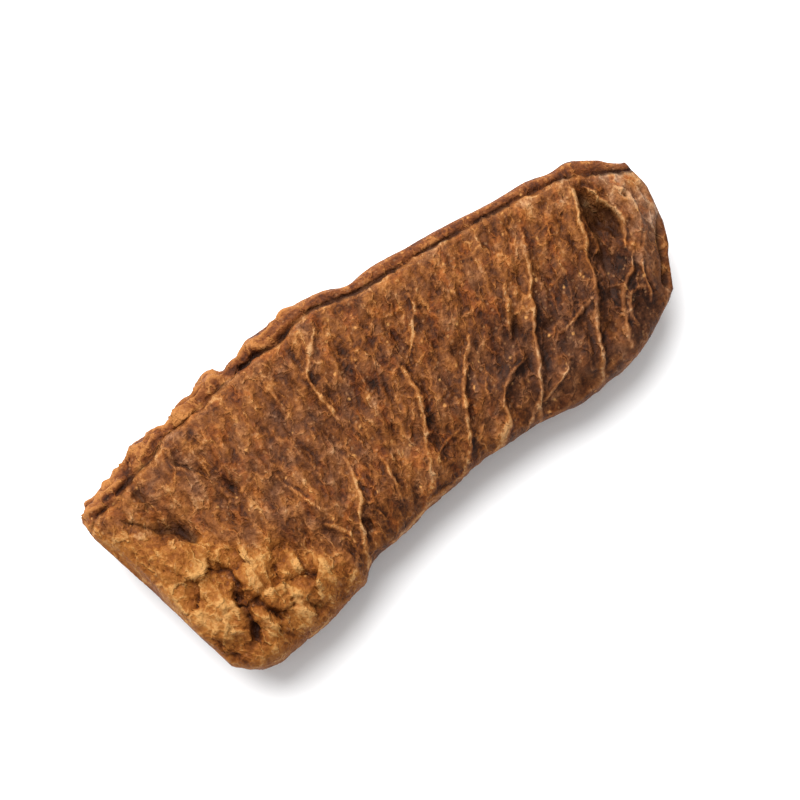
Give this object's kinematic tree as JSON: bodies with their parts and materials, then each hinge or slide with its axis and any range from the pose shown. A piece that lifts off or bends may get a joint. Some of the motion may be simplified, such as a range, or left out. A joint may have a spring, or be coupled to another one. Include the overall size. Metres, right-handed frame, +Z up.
{
  "type": "shikakai pod",
  "caption": "Dried shikakai seed pod: a broad, flat, wrinkled strap with slanting raised veins, a cord-like rim along one margin and a dent near one blunt end.",
  "frame": {"origin": "on the surface that the pod lies on, under the middle of its bounding box", "axes": "+X along the pod to its dented end, +Y across it to the margin with the cord-like rim, +Z up through its thickness"},
  "size_m": [0.07, 0.0302, 0.0105],
  "materials": {
    "pod_skin": "dry, wrinkled plant skin with a faint sheen"
  },
  "bodies": {
    "root": {"pod": "pod_skin"}
  },
  "joints": []
}
